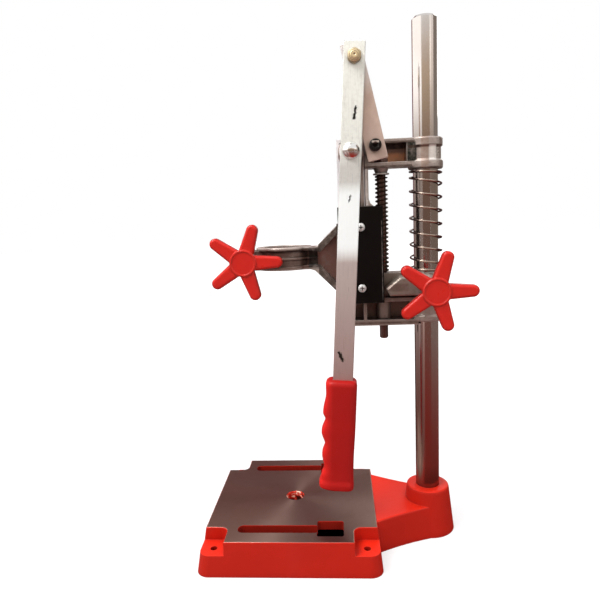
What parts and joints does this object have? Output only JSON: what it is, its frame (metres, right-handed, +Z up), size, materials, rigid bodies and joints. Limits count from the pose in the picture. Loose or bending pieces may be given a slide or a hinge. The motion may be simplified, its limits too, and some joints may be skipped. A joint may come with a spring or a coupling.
{
  "type": "drill stand",
  "caption": "Bench drill stand: cast base, round column, height-adjustable bracket and a sprung drill carriage with split collar, moved by a side lever and link.",
  "frame": {"origin": "on the bench, on the drill axis, in the middle of the four bench bolts", "axes": "+Z up along the column, +Y from the drill axis to the column, +X to the lever side"},
  "size_m": [0.1908, 0.2813, 0.536],
  "materials": {
    "base_paint": "gloss red paint on the sides, bare machined iron on the table top",
    "column_steel": "polished bar",
    "bracket_alloy": "die-cast, satin",
    "carriage_alloy": "die-cast, satin",
    "knob_plastic": "moulded red plastic",
    "bright_steel": "bright steel",
    "pivot_chrome": "polished dome",
    "lever_steel": "drawn flat bar",
    "grip_plastic": "soft red plastic",
    "nut_zinc": "yellow zinc",
    "link_steel": "rolled flat bar",
    "screw_black": "black oxide",
    "cover_black": "black sheet",
    "rod_steel": "ground bar",
    "spring_steel": "spring wire"
  },
  "bodies": {
    "base": {"base_casting": "base_paint", "column_bar": "column_steel"},
    "bracket": {"bracket_casting": "bracket_alloy", "lever_pivot_bolt": "pivot_chrome", "lever_pivot_washer": "bright_steel", "rod_spring": "spring_steel", "column_spring": "spring_steel"},
    "clamp_screw": {"clamp_knob": "knob_plastic", "clamp_stud": "bright_steel"},
    "lever": {"lever_bar": "lever_steel", "lever_grip": "grip_plastic", "link_top_nut": "nut_zinc", "link_top_bolt_end": "nut_zinc"},
    "carriage": {"carriage_casting": "carriage_alloy", "carriage_cover": "cover_black", "cover_screws": "bright_steel", "guide_rod": "rod_steel", "guide_rod_nut": "bright_steel", "rod_spring_washer": "bright_steel", "link_lower_screw": "screw_black", "link_lower_washer": "bright_steel", "collar_nut": "bright_steel"},
    "link": {"link_bar": "link_steel", "link_top_bolt_head": "nut_zinc", "link_top_washer": "bright_steel"},
    "collar_screw": {"collar_knob": "knob_plastic", "collar_stud": "bright_steel"}
  },
  "joints": [
    {"name": "head_height", "type": "slide", "parent": "base", "child": "bracket", "axis": [0, 0, 1], "range_m": [-0.02, 0.1]},
    {"name": "clamp_turn", "type": "hinge", "parent": "bracket", "child": "clamp_screw", "pos_m": [0.0424, 0.148, 0.2726], "axis": [1, 0, 0], "continuous": true},
    {"name": "lever_turn", "type": "hinge", "parent": "bracket", "child": "lever", "pos_m": [0.0465, 0.0718, 0.4068], "axis": [-1, 0, 0], "range_deg": [0, 80.59]},
    {"name": "carriage_slide", "type": "slide", "parent": "bracket", "child": "carriage", "axis": [0, 0, -1], "range_m": [0, 0.05], "stiffness_N_per_m": 600, "springref_m": -0.06, "deforming": ["column_spring", "rod_spring"]},
    {"name": "link_turn", "type": "hinge", "parent": "carriage", "child": "link", "pos_m": [0.04, 0.0947, 0.4111], "axis": [-1, 0, 0], "range_deg": [0, 60.56]},
    {"name": "collar_turn", "type": "hinge", "parent": "carriage", "child": "collar_screw", "pos_m": [0.0162, -0.0382, 0.3038], "axis": [1, 0, 0], "continuous": true}
  ],
  "couplings": [
    {"joint": "carriage_slide", "follows": "lever_turn", "m_per_rad": 0.035548},
    {"joint": "link_turn", "follows": "lever_turn", "ratio": 0.75146}
  ]
}
